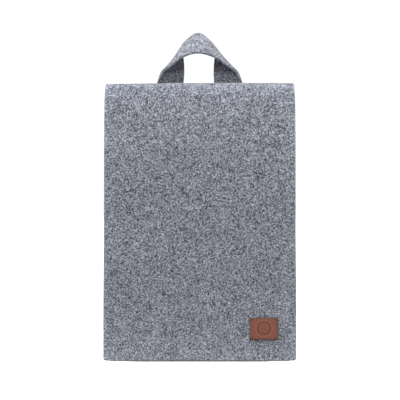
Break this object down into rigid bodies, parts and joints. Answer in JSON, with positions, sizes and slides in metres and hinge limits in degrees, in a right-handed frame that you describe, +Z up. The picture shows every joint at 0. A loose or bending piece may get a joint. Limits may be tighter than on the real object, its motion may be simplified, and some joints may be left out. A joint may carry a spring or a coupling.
{
  "type": "laptop sleeve",
  "caption": "Upright felt laptop sleeve with a full front flap that opens at two top folds, a tipping carrying loop and a small leather patch.",
  "frame": {"origin": "middle of the bottom face on the floor, in the plane midway through the sleeve's pocket", "axes": "+X to the right as seen from the front, -Y out of the front with the flap, +Z up towards the carrying loop"},
  "size_m": [0.241, 0.0631, 0.4077],
  "materials": {
    "felt": "grey melange wool felt, matt and slightly hairy",
    "lining": "dark brushed lining cloth",
    "leather": "brown leather with a fine grain",
    "thread": "dark twisted thread",
    "magnet": "plated"
  },
  "bodies": {
    "pocket": {"back_panel": "felt", "front_panel": "felt", "bottom_fold": "felt", "back_lining": "lining", "front_lining": "lining", "seam_thread_left": "thread", "seam_thread_right": "thread", "mouth_thread": "thread", "pocket_magnet_left": "magnet", "pocket_magnet_right": "magnet", "handle_tab_left": "felt", "handle_tab_right": "felt", "handle_stitch_left": "thread", "handle_stitch_right": "thread", "rear_fold": "felt"},
    "spine": {"spine_panel": "felt", "front_fold": "felt"},
    "flap": {"flap_panel": "felt", "flap_hem_facing": "lining", "facing_thread": "thread", "flap_magnet_left": "magnet", "flap_magnet_right": "magnet", "leather_patch": "leather", "patch_stitch_1": "thread", "patch_stitch_2": "thread", "patch_stitch_3": "thread", "patch_stitch_4": "thread"},
    "handle": {"handle_loop": "felt"}
  },
  "joints": [
    {"name": "top_fold_rear", "type": "hinge", "parent": "pocket", "child": "spine", "pos_m": [0, 0.00967, 0.34257], "axis": [-1, 0, 0], "range_deg": [0, 90], "deforming": ["rear_fold"]},
    {"name": "top_fold_front", "type": "hinge", "parent": "spine", "child": "flap", "pos_m": [0, -0.01447, 0.34257], "axis": [-1, 0, 0], "range_deg": [0, 90], "deforming": ["front_fold"]},
    {"name": "handle_tilt", "type": "hinge", "parent": "pocket", "child": "handle", "pos_m": [0, 0.0164, 0.33315], "axis": [-1, 0, 0], "range_deg": [0, 80], "stiffness_Nm_per_rad": 0.05}
  ]
}
